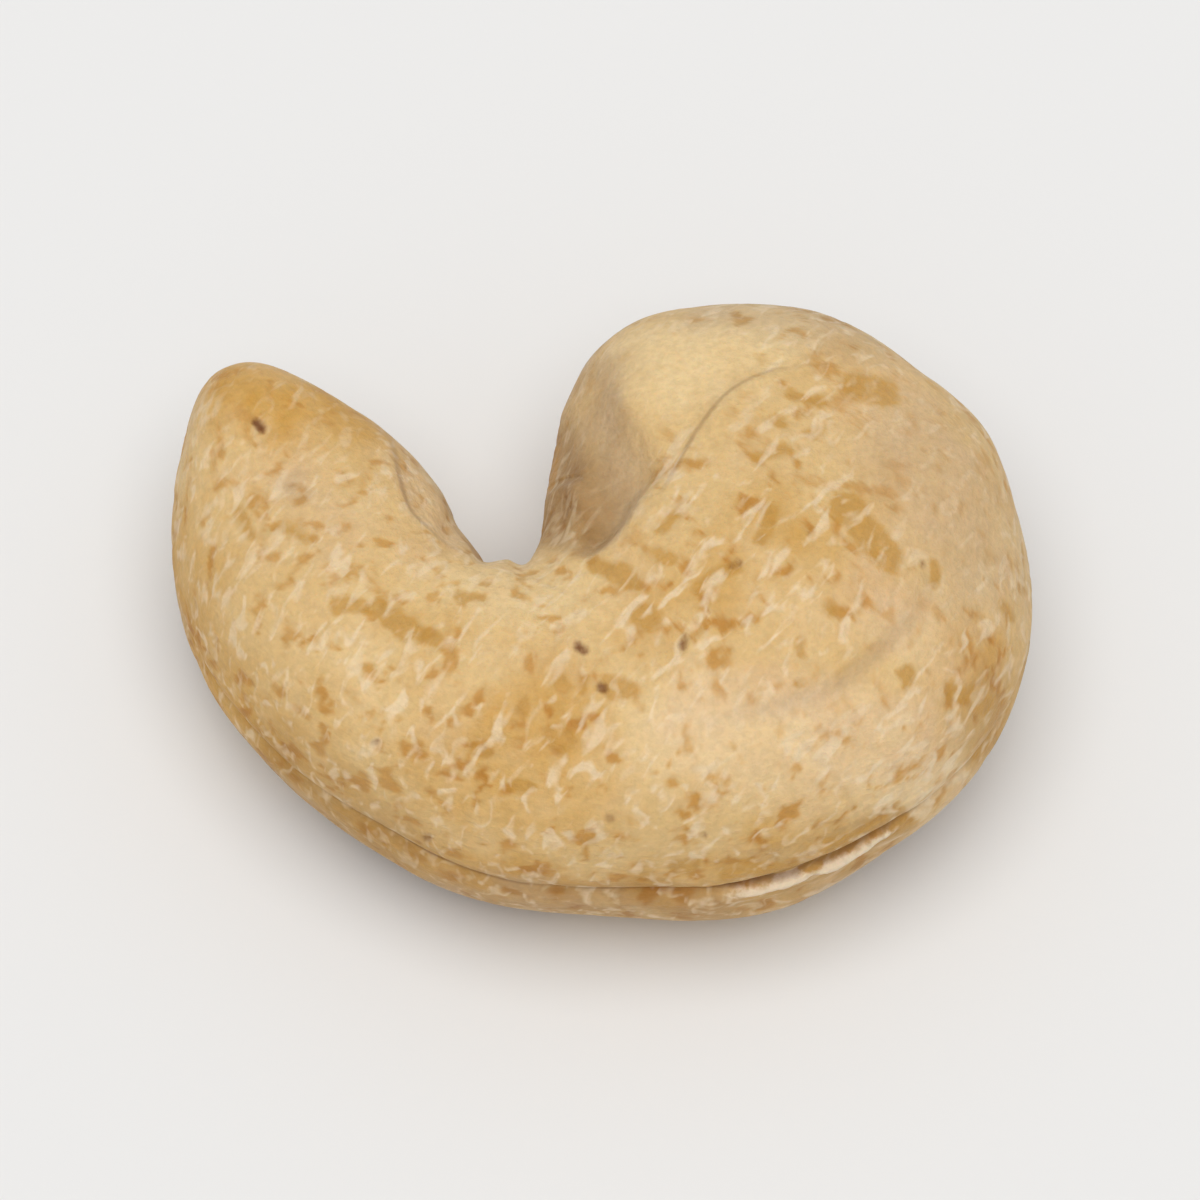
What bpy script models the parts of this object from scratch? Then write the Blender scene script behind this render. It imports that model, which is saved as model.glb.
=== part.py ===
"""One whole cashew kernel, shelled and skinned, lying on its broad side on a table.

The kernel is a fat comma. It is lofted from oval sections that follow the comma from its thin tip, on the
left, round the back to its fat tip, on the right. Each section joins a point on the outer, convex edge to a
point on the inner, hollow edge. Both points lie on the median plane, where the two seed halves meet.

Frame: +X is along the kernel's length, towards the fat tip. +Y is across it, the way the hollow opens. +Z is
up. The origin is on the table, under the middle of the kernel's box.
"""

from typing import NamedTuple

import bpy
import numpy as np

MM = 0.001  # metres in a millimetre


class Section(NamedTuple):
    """One oval section. Lengths are in millimetres, measured before the millimetres are made metres."""

    outer: tuple[float, float]  # X and Y of the point on the outer edge
    inner: tuple[float, float]  # X and Y of the point on the inner edge
    half_thickness: float  # from the median plane to the top or the bottom of the flank
    middle_height: float  # of the median plane above the table


# Driving dimensions, in millimetres

LENGTH = 25.0  # of the finished kernel, to which all the rest is brought by one small change of scale

THIN_TIP = (-11.0, 7.6)
FAT_TIP = (2.3, 9.15)
TIP_HEIGHT = 5.2  # of both tips above the table

SECTIONS = [
    Section((-12.0, 6.4), (-9.4, 7.3), 2.1, 5.1),
    Section((-12.5, 3.9), (-7.1, 5.95), 3.6, 4.8),
    Section((-12.2, 0.6), (-4.8, 3.9), 4.4, 4.2),  # first low spot, under the thin limb
    Section((-10.6, -3.1), (-3.75, 1.8), 4.7, 4.7),
    Section((-7.1, -6.6), (-3.3, 0.9), 4.8, 4.95),
    Section((-2.3, -8.9), (-2.75, 0.7), 4.9, 4.95),
    Section((2.9, -9.2), (-2.2, 0.8), 5.1, 5.0),  # second low spot, under the back
    Section((7.9, -7.7), (-1.75, 1.7), 5.4, 5.5),
    Section((11.35, -4.1), (-1.75, 3.1), 5.5, 5.5),
    Section((12.5, 0.4), (-1.6, 4.6), 5.4, 5.25),  # third low spot, under the fat limb
    Section((11.35, 4.7), (-1.3, 5.9), 4.9, 5.2),
    Section((8.7, 7.6), (-0.7, 7.1), 4.1, 5.2),
    Section((5.2, 9.15), (0.1, 8.1), 2.6, 5.2),
]

SQUARENESS = 2.3  # 2 is an ellipse, and more is fuller at the shoulders of the section

SEAM_DEPTH = 0.16  # of the groove where the two seed halves meet
SEAM_HALF_WIDTH = 0.36
SEAM_LIP = 0.04  # height of the swelling on each side of the groove
SEAM_LIP_DISTANCE = 0.85  # from the groove's bottom to the crest of the swelling
TIP_FADE = 1.8  # half width of the section at which the relief, which dies out at the tips, is whole

# The fold on the fat limb's upper flank, where the surface steps down on the left of a path that runs from the
# bottom of the hollow to the fat tip: X, Y and share of the whole depth
FOLD_PATH = [
    (-1.75, 0.75, 0.0),
    (-1.15, -0.15, 0.5),
    (-0.5, -0.7, 0.8),
    (0.1, -0.5, 0.95),
    (0.65, 0.1, 1.0),
    (1.1, 0.85, 1.0),
    (1.6, 1.6, 1.0),
    (1.7, 2.2, 0.85),
    (1.3, 3.2, 0.65),
    (0.7, 4.4, 0.5),
    (0.55, 5.4, 0.3),
    (0.7, 6.3, 0.0),
]
FOLD_DEPTH = 0.8
FOLD_STEP = (-0.3, 1.0)  # distances past the path over which the surface steps down
FOLD_BACK = (1.6, 5.0)  # distances past it over which the surface comes back up
FOLD_BLEND = 0.4  # how widely the path's share of the depth is averaged
FOLD_HEIGHTS = (0.3, 2.2)  # above the median plane: where it starts and where it is whole

WRINKLE_DEPTH = 0.1  # of the puckers across the bottom of the hollow
WRINKLE_SPACING = 1.05
WRINKLE_REACH = 1.6  # how far from the inner edge they fade out
WRINKLE_MIDDLE = (-2.9, 0.8)  # the bottom of the hollow
WRINKLE_SPREAD = 2.6  # how far along the edge, from that middle, they fade out

# Broad dents and swells: the wavelength along X, Y and Z, the height and the phase of each wave
SWELLS = [
    ((9.5, 12.0, 30.0), 0.08, 0.6),
    ((-8.5, 9.0, 14.0), 0.06, 2.1),
    ((15.0, -7.0, -10.0), 0.05, 4.0),
]

RINGS = 86
POINTS_PER_RING = 56
SEAM_CROWDING = 0.62  # share by which the points of a ring draw together at the seam

KERNEL_COLOUR = (0.66, 0.44, 0.20, 1.0)


def cubic(start, leave, end, arrive, t):
    """A cubic between two points with a slope at each, where t runs from 0 to 1."""
    return (
        (2 * t**3 - 3 * t**2 + 1) * start
        + (t**3 - 2 * t**2 + t) * leave
        + (3 * t**2 - 2 * t**3) * end
        + (t**3 - t**2) * arrive
    )


def closed_curve(points, where):
    """A smooth closed curve through the points: a cubic spline whose slope and bend are continuous.

    where counts points along the curve, so 2.5 is halfway from the third point to the fourth.
    """
    points = np.asarray(points, float)
    count = len(points)
    following = np.roll(np.eye(count), 1, axis=1)
    system = 4 * np.eye(count) + following + following.T
    slopes = np.linalg.solve(system, 3 * (np.roll(points, -1, axis=0) - np.roll(points, 1, axis=0)))
    step = np.floor(where).astype(int)
    t = (where - step)[:, None]
    here = step % count
    ahead = (here + 1) % count
    return cubic(points[here], slopes[here], points[ahead], slopes[ahead], t)


def open_curve(points, count):
    """Evenly counted places on a smooth open curve through the points, tips included."""
    points = np.asarray(points, float)
    slopes = np.gradient(points, axis=0)
    where = np.linspace(0, len(points) - 1, count)
    here = np.minimum(where.astype(int), len(points) - 2)
    t = (where - here)[:, None]
    return cubic(points[here], slopes[here], points[here + 1], slopes[here + 1], t)


def mirrored(at_thin_tip, values, at_fat_tip, sign=1):
    """Values round the closed edge: up the outer side and back down the inner side."""
    return [at_thin_tip, *values, at_fat_tip, *[sign * value for value in reversed(values)]]


def loft(along):
    """Centre, half width, direction, half thickness and middle height of the section at each place along.

    along runs from 0 at the thin tip to the number of spans at the fat tip. The half thickness is carried
    round the tips with its sign changed, so that it falls to nothing there as the width does.
    """
    outer_points = [section.outer for section in SECTIONS]
    inner_points = [section.inner for section in SECTIONS]
    edge = [THIN_TIP, *outer_points, FAT_TIP, *reversed(inner_points)]
    thicknesses = mirrored(0.0, [section.half_thickness for section in SECTIONS], 0.0, sign=-1)
    heights = mirrored(TIP_HEIGHT, [section.middle_height for section in SECTIONS], TIP_HEIGHT)
    outer = closed_curve(edge, along)
    inner = closed_curve(edge, len(edge) - along)
    across = outer - inner
    width = np.linalg.norm(across, axis=1, keepdims=True)
    half_thickness = closed_curve(np.array(thicknesses)[:, None], along)
    height = closed_curve(np.array(heights)[:, None], along)
    return (outer + inner) / 2, width / 2, across / width, half_thickness, height


def oval(around):
    """A superellipse of half width and half height 1: the section's own shape."""
    across, up = np.cos(around), np.sin(around)
    size = (np.abs(across) ** SQUARENESS + np.abs(up) ** SQUARENESS) ** (-1 / SQUARENESS)
    return across * size, up * size


def smooth_step(value, start, end):
    """0 before start and 1 after end, with an even S-shaped rise between them."""
    t = np.clip((value - start) / (end - start), 0, 1)
    return t * t * (3 - 2 * t)


def bell(distance, half_width):
    """1 at no distance, falling to nothing in a bell-shaped curve."""
    return np.exp(-((distance / half_width) ** 2))


def seam_relief(above_median):
    """The groove all round the edge, wherever the surface crosses the median plane, between two low lips."""
    groove = -SEAM_DEPTH * bell(above_median, SEAM_HALF_WIDTH)
    lips = SEAM_LIP * bell(np.abs(above_median) - SEAM_LIP_DISTANCE, SEAM_HALF_WIDTH)
    return groove + lips


def fold_relief(points, above_median):
    """A soft step on the fat limb's upper flank, down on the left of the fold's path, that dies out past it."""
    path = open_curve(FOLD_PATH, 80)
    heading = np.gradient(path[:, :2], axis=0)
    heading /= np.linalg.norm(heading, axis=1, keepdims=True)
    apart = np.linalg.norm(points[..., None, :2] - path[:, :2], axis=-1)
    nearest = np.argmin(apart, axis=-1)
    way = points[..., :2] - path[nearest, :2]
    past = heading[nearest, 0] * way[..., 1] - heading[nearest, 1] * way[..., 0]
    weight = bell(apart - apart.min(axis=-1, keepdims=True), FOLD_BLEND)
    share = (weight * path[:, 2]).sum(axis=-1) / weight.sum(axis=-1)
    step = smooth_step(past, *FOLD_STEP) * (1 - smooth_step(past, *FOLD_BACK))
    return -FOLD_DEPTH * step * share * smooth_step(above_median, *FOLD_HEIGHTS)


def wrinkle_relief(points, from_inner_edge):
    """Puckers across the bottom of the hollow: waves along X that fade away from the inner edge."""
    east = points[..., 0] - WRINKLE_MIDDLE[0]
    distance = np.hypot(east, points[..., 1] - WRINKLE_MIDDLE[1])
    wave = np.cos(2 * np.pi * (east + 0.12 * points[..., 2]) / WRINKLE_SPACING)
    return WRINKLE_DEPTH * wave * bell(distance, WRINKLE_SPREAD) * bell(from_inner_edge, WRINKLE_REACH)


def swell_relief(points):
    """Broad dents and swells: a sum of slow plane waves."""
    total = np.zeros(points.shape[:-1])
    for wavelengths, height, phase in SWELLS:
        total += height * np.cos(2 * np.pi * (points / np.array(wavelengths)).sum(axis=-1) + phase)
    return total


def outward(points):
    """Unit normals of a grid of points: rings along the first axis, closed rings along the second."""
    along = np.gradient(points, axis=0)
    around = np.roll(points, -1, axis=1) - np.roll(points, 1, axis=1)
    normals = np.cross(along, around)
    return normals / np.linalg.norm(normals, axis=-1, keepdims=True)


def kernel_rings():
    """The kernel's surface as rings of points in millimetres, one ring for each section, without the tips."""
    spans = len(SECTIONS) + 1
    along = np.linspace(0, spans, RINGS + 2)[1:-1]
    even = np.linspace(0, 2 * np.pi, POINTS_PER_RING, endpoint=False)
    around = even - SEAM_CROWDING * np.sin(2 * even) / 2
    centre, half_width, direction, half_thickness, height = loft(along)
    across, up = oval(around)
    plan = centre[:, None] + half_width[:, None] * across[None, :, None] * direction[:, None]
    above_median = half_thickness * up
    smooth = np.concatenate([plan, (height + above_median)[..., None]], axis=-1)
    from_inner_edge = half_width * (1 + across)
    relief = (
        seam_relief(above_median)
        + fold_relief(smooth, above_median)
        + wrinkle_relief(smooth, from_inner_edge)
        + swell_relief(smooth)
    )
    fade = smooth_step(half_width, 0, TIP_FADE)
    return smooth + outward(smooth) * (relief * fade)[..., None]


def rested(points):
    """The points at the kernel's true length, over the origin, with what dips under the table pressed flat."""
    lowest, highest = points.min(axis=0), points.max(axis=0)
    middle = (lowest + highest) / 2
    middle[2] = 0
    placed = (points - middle) * LENGTH / (highest[0] - lowest[0])
    placed[:, 2] = np.maximum(placed[:, 2], 0)
    return placed


def kernel_mesh():
    """The closed mesh: quads between neighbouring rings, and a fan of triangles at each tip."""
    rings = kernel_rings()
    tips = np.array([[*THIN_TIP, TIP_HEIGHT], [*FAT_TIP, TIP_HEIGHT]])
    points = rested(np.concatenate([rings.reshape(-1, 3), tips])) * MM
    index = np.arange(RINGS * POINTS_PER_RING).reshape(RINGS, POINTS_PER_RING)
    beside = np.roll(index, -1, axis=1)
    quads = np.stack([index[:-1], index[1:], beside[1:], beside[:-1]], axis=-1).reshape(-1, 4)
    thin_tip, fat_tip = len(points) - 2, len(points) - 1
    faces = quads.tolist()
    faces += [(thin_tip, a, b) for a, b in zip(index[0], beside[0])]
    faces += [(fat_tip, b, a) for a, b in zip(index[-1], beside[-1])]
    mesh = bpy.data.meshes.new("cashew_kernel")
    mesh.from_pydata(points.tolist(), [], [tuple(int(i) for i in face) for face in faces])
    mesh.shade_smooth()
    return mesh


def kernel_material():
    """Skinned, dried kernel: warm cream, with a slight waxy sheen."""
    material = bpy.data.materials.new("kernel")
    material.use_nodes = True
    shader = material.node_tree.nodes["Principled BSDF"]
    shader.inputs["Base Color"].default_value = KERNEL_COLOUR
    shader.inputs["Roughness"].default_value = 0.55
    shader.inputs["Metallic"].default_value = 0.0
    return material


def main():
    for old in list(bpy.data.objects):
        bpy.data.objects.remove(old)
    mesh = kernel_mesh()
    mesh.materials.append(kernel_material())
    kernel = bpy.data.objects.new("cashew_kernel", mesh)
    bpy.context.scene.collection.objects.link(kernel)


main()
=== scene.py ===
"""One whole cashew kernel, shelled and skinned, dressed for a studio picture.

The kernel is a fat comma lofted from oval sections, from its thin tip on the left, round the hollow, to its
fat tip on the right. Its relief is worked out in layers along the surface's normal, from the seam between
the two seed halves down to the pits, and its finish is a powdery cream skin worn through to oily amber.

Lengths are in millimetres until the mesh is put together, which is in metres. +X is along the kernel towards
the fat tip, +Y is the way the hollow opens, and +Z is up.
"""

import logging
import math
from dataclasses import dataclass, field
from enum import Enum

import bpy
import numpy as np
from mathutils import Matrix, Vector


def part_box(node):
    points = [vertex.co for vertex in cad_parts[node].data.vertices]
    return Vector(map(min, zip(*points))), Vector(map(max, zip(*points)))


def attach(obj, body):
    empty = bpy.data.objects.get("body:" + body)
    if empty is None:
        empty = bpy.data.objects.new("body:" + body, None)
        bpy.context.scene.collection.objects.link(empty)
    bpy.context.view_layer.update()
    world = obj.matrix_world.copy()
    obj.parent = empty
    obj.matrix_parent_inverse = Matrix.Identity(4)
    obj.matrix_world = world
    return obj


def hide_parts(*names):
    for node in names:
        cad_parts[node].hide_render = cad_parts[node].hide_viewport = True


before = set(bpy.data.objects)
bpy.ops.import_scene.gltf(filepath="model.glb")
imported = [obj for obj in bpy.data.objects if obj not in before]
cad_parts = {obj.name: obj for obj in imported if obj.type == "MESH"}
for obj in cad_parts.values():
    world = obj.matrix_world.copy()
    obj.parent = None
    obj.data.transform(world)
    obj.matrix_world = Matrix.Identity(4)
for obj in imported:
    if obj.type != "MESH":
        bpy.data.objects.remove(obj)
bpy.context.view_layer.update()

LOG = logging.getLogger("cashew")
MM = 0.001
NODE = "cashew_kernel"
PIECE = "kernel_skin"
UV_MAP = "laid_out"
VIEW_ELEVATION = 62.0  # degrees above the floor that the camera looks down from

Pair = tuple[float, float]
Triple = tuple[float, float, float]
Four = tuple[float, float, float, float]
Layers = dict[str, np.ndarray]  # what the finish reads at each point of the mesh, by name
Socket = bpy.types.NodeSocket


def smooth_step(value: np.ndarray, start: float, end: float) -> np.ndarray:
    """Rise from 0 to 1 in an even S shape.

    The formula is t squared times (3 - 2t), where t is the share of the way from start to end.

    Args:
        value: What is compared with start and end.
        start: The value at and below which the result is 0.
        end: The value at and above which the result is 1.

    Returns:
        The result for each value.
    """
    t = np.clip((value - start) / (end - start), 0, 1)
    return t * t * (3 - 2 * t)


def plateau(value: np.ndarray, start: float, whole: float, wane: float, end: float) -> np.ndarray:
    """Rise from 0 to 1 between the first two values, and fall back to 0 between the last two."""
    return smooth_step(value, start, whole) * (1 - smooth_step(value, wane, end))


def bell(distance: np.ndarray, half_width: float | np.ndarray) -> np.ndarray:
    """Fall from 1 as e to the minus square of the distance over the half width."""
    return np.exp(-((distance / half_width) ** 2))


def unit(vectors: np.ndarray) -> np.ndarray:
    """Bring vectors to length 1 along the last axis."""
    return vectors / np.maximum(np.linalg.norm(vectors, axis=-1, keepdims=True), 1e-12)


def hermite(
    start: np.ndarray, leave: np.ndarray, end: np.ndarray, arrive: np.ndarray, t: np.ndarray
) -> np.ndarray:
    """Read a cubic between two points with a slope at each, by the four Hermite polynomials of t.

    Args:
        start: The first point of each cubic.
        leave: The slope there.
        end: The last point of each.
        arrive: The slope there.
        t: The share of the way from the first point to the last.

    Returns:
        The cubics' points.
    """
    return (
        (2 * t**3 - 3 * t**2 + 1) * start
        + (t**3 - 2 * t**2 + t) * leave
        + (3 * t**2 - 2 * t**3) * end
        + (t**3 - t**2) * arrive
    )


def smooth_path(points: tuple[tuple[float, ...], ...], count: int) -> np.ndarray:
    """Draw a smooth open path through points.

    Args:
        points: The points, with as many coordinates as they like.
        count: How many places on it are wanted.

    Returns:
        The places. A cubic joins each two points, and a point's slope is half the way between its two
        neighbours.
    """
    knots = np.asarray(points, float)
    slopes = np.gradient(knots, axis=0)
    where = np.linspace(0, len(knots) - 1, count)
    here = np.minimum(where.astype(int), len(knots) - 2)
    t = (where - here)[:, None]
    return hermite(knots[here], slopes[here], knots[here + 1], slopes[here + 1], t)


def outward(points: np.ndarray) -> np.ndarray:
    """Unit normals of a grid of closed rings: the way along the limb crossed with the way round it."""
    around = np.roll(points, -1, axis=1) - np.roll(points, 1, axis=1)
    return unit(np.cross(np.gradient(points, axis=0), around))


def ring_quads(index: np.ndarray) -> list[list[int]]:
    """Join neighbouring closed rings, given as rows of point numbers, with quads."""
    beside = np.roll(index, -1, axis=1)
    return np.stack([index[:-1], index[1:], beside[1:], beside[:-1]], axis=-1).reshape(-1, 4).tolist()


def linear(code: str) -> Four:
    """Turn a colour written as on a screen into the linear colour that shaders use.

    Args:
        code: A hash and six hexadecimal digits.

    Returns:
        Red, green, blue and an alpha of 1. Each channel is ((c + 0.055) / 1.055) to the power 2.4, or
        c / 12.92 where c is under 0.04045.
    """
    channels = [int(code[at : at + 2], 16) / 255 for at in (1, 3, 5)]
    red, green, blue = (c / 12.92 if c < 0.04045 else ((c + 0.055) / 1.055) ** 2.4 for c in channels)
    return red, green, blue, 1.0


def put(name: str, data: bpy.types.ID) -> bpy.types.Object:
    """Put an object with its data into the scene."""
    piece = bpy.data.objects.new(name, data)
    bpy.context.scene.collection.objects.link(piece)
    return piece


class GradientNoise:
    """A smooth random field in space that is the same each time for the same seed.

    Places that are shifted by some tens of millimetres read another part of it, which looks unrelated.
    """

    TABLE = 256
    GAIN = 1.6  # brings the blended products to about -1 to 1
    SHIFT = 17.3  # cells between one octave's places and the next one's

    def __init__(self, seed: int) -> None:
        """Shuffle the table of corners and draw a random direction for each entry."""
        draw = np.random.default_rng(seed)
        self.order = draw.permutation(self.TABLE)
        self.slopes = unit(draw.normal(size=(self.TABLE, 3)))

    def at(self, points: np.ndarray) -> np.ndarray:
        """Read the field.

        At each corner of the unit cell round a point, the corner's random direction is multiplied with the
        way from the corner to the point. The eight products are blended by 6t^5 - 15t^4 + 10t^3 along each
        axis.

        Args:
            points: Places in cells, with X, Y and Z along the last axis.

        Returns:
            A value of about -1 to 1 for each place.
        """
        cell = np.floor(points).astype(int)
        inside = points - cell
        blend = inside**3 * (inside * (inside * 6 - 15) + 10)
        total = np.zeros(points.shape[:-1])
        for corner in np.ndindex(2, 2, 2):
            entry = np.zeros(points.shape[:-1], dtype=int)
            for axis in range(3):
                entry = self.order[(entry + cell[..., axis] + corner[axis]) % self.TABLE]
            product = ((inside - corner) * self.slopes[entry]).sum(axis=-1)
            shares = np.where(np.array(corner) == 1, blend, 1 - blend)
            total += product * shares.prod(axis=-1)
        return total * self.GAIN

    def fractal(self, points: np.ndarray, wavelength: float, octaves: int, gain: float = 0.5) -> np.ndarray:
        """Add octaves of the field, each with half the last one's wavelength and gain times its height.

        Args:
            points: Places in millimetres.
            wavelength: Of the coarsest octave, in millimetres.
            octaves: How many octaves are added.
            gain: How much lower each octave is than the one before.

        Returns:
            The sum, with a coarsest octave of about -1 to 1.
        """
        total = np.zeros(points.shape[:-1])
        for octave in range(octaves):
            shifted = points * (2.0**octave / wavelength) + self.SHIFT * (octave + 1)
            total += gain**octave * self.at(shifted)
        return total


@dataclass(frozen=True)
class Section:
    """One oval section of the kernel."""

    outer: Pair  # X and Y of its point on the outer edge
    inner: Pair  # X and Y of its point on the inner edge
    half_thickness: float  # from the median plane to the top or the bottom of the flank
    middle_height: float  # of the median plane above the floor


@dataclass
class Skin:
    """The kernel's bare surface as a grid, with a row for each ring and a column for each place round it."""

    points: np.ndarray
    normals: np.ndarray
    grain: np.ndarray  # unit directions along the limb
    above: np.ndarray  # height over the median plane, where the seed halves meet
    across: np.ndarray  # from -1 on the inner edge to 1 on the outer edge
    half_width: np.ndarray  # of each ring, as a column
    along: np.ndarray  # which section each ring is at, as a column, from 0 at the thin tip

    @property
    def from_inner_edge(self) -> np.ndarray:
        """Distance across the section from the inner edge."""
        return self.half_width * (1 + self.across)


@dataclass(frozen=True)
class KernelForm:
    """The kernel's smooth body: a closed edge of cubic curves, filled with superellipse sections."""

    length: float = 25.0
    thin_tip: Pair = (-11.0, 7.6)
    fat_tip: Pair = (2.3, 9.15)
    tip_height: float = 5.2
    squareness: float = 2.3
    measured_steps: int = 40  # per span, in which the edge's length is measured
    seam_crowding: float = 0.3  # share by which a ring's points draw together at the seam
    sections: tuple[Section, ...] = (
        Section((-12.0, 6.4), (-9.4, 7.3), 2.1, 5.1),
        Section((-12.5, 3.9), (-7.1, 5.95), 3.6, 4.8),
        Section((-12.2, 0.6), (-4.8, 3.9), 4.4, 4.2),
        Section((-10.6, -3.1), (-3.75, 1.8), 4.7, 4.7),
        Section((-7.1, -6.6), (-3.3, 0.9), 4.8, 4.95),
        Section((-2.3, -8.9), (-2.75, 0.7), 4.9, 4.95),
        Section((2.9, -9.2), (-2.2, 0.8), 5.1, 5.0),
        Section((7.9, -7.7), (-1.75, 1.7), 5.4, 5.5),
        Section((11.35, -4.1), (-1.75, 3.1), 5.5, 5.5),
        Section((12.5, 0.4), (-1.6, 4.6), 5.4, 5.25),
        Section((11.35, 4.7), (-1.3, 5.9), 4.9, 5.2),
        Section((8.7, 7.6), (-0.7, 7.1), 4.1, 5.2),
        Section((5.2, 9.15), (0.1, 8.1), 2.6, 5.2),
    )

    @staticmethod
    def closed_curve(points: list[tuple[float, ...]], where: np.ndarray) -> np.ndarray:
        """Read a closed curve whose slope and bend are continuous.

        Each span is a cubic between two points with a slope at each end. The slopes solve the system in
        which a slope's two neighbours plus four times itself are three times the way between the
        neighbouring points.

        Args:
            points: The points that the curve goes through.
            where: Places along it, counted in points.

        Returns:
            The curve's points at those places.
        """
        knots = np.asarray(points, float)
        count = len(knots)
        following = np.roll(np.eye(count), 1, axis=1)
        system = 4 * np.eye(count) + following + following.T
        slopes = np.linalg.solve(system, 3 * (np.roll(knots, -1, axis=0) - np.roll(knots, 1, axis=0)))
        step = np.floor(where).astype(int)
        t = (where - step)[:, None]
        here = step % count
        ahead = (here + 1) % count
        return hermite(knots[here], slopes[here], knots[ahead], slopes[ahead], t)

    @property
    def spans(self) -> int:
        """How many spans the edge has from tip to tip."""
        return len(self.sections) + 1

    def edge(self) -> list[Pair]:
        """Points of the closed edge, up the outer side from the thin tip and back down the inner side."""
        outer = [section.outer for section in self.sections]
        inner = [section.inner for section in reversed(self.sections)]
        return [self.thin_tip, *outer, self.fat_tip, *inner]

    def ring_places(self, rings: int) -> np.ndarray:
        """Spread the rings so that they lie at equal steps of the outer edge's length, tips left out."""
        fine = np.linspace(0, self.spans, self.measured_steps * self.spans + 1)
        steps = np.linalg.norm(np.diff(self.closed_curve(self.edge(), fine), axis=0), axis=1)
        length = np.concatenate([[0], np.cumsum(steps)])
        return np.interp(np.linspace(0, length[-1], rings + 2)[1:-1], length, fine)

    def skin(self, rings: int, per_ring: int) -> Skin:
        """Work the smooth body out as a grid.

        A section's point at an angle is the middle of the edge's two points, plus the superellipse's width
        times the half width along the line between them, plus its height times the half thickness upwards.
        The superellipse is the circle's point over (|cos|^n + |sin|^n)^(1/n). Half thickness goes through 0
        with its sign changed at the tips, as the width does, which rounds them.

        Args:
            rings: How many rings there are.
            per_ring: How many points a ring has.

        Returns:
            The grid with its normals and directions.
        """
        along = self.ring_places(rings)
        halves = [section.half_thickness for section in self.sections]
        heights = [section.middle_height for section in self.sections]
        thickness_knots = [0.0, *halves, 0.0, *[-half for half in reversed(halves)]]
        height_knots = [self.tip_height, *heights, self.tip_height, *reversed(heights)]
        outer = self.closed_curve(self.edge(), along)
        inner = self.closed_curve(self.edge(), 2 * self.spans - along)
        width = np.linalg.norm(outer - inner, axis=1, keepdims=True)
        half_thickness = self.closed_curve([(knot,) for knot in thickness_knots], along)
        height = self.closed_curve([(knot,) for knot in height_knots], along)
        even = np.linspace(0, 2 * np.pi, per_ring, endpoint=False)
        around = even - self.seam_crowding * np.sin(2 * even) / 2
        cosine, sine = np.cos(around), np.sin(around)
        power = self.squareness
        size = (np.abs(cosine) ** power + np.abs(sine) ** power) ** (-1 / power)
        direction = (outer - inner) / width
        offset = (width / 2) * (cosine * size)[None]
        plan = ((outer + inner) / 2)[:, None] + offset[..., None] * direction[:, None]
        above = half_thickness * (sine * size)[None]
        points = np.concatenate([plan, (height + above)[..., None]], axis=-1)
        return Skin(
            points=points,
            normals=outward(points),
            grain=unit(np.gradient(points, axis=0)),
            above=above,
            across=np.broadcast_to(cosine * size, above.shape),
            half_width=width / 2,
            along=along[:, None],
        )


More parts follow.
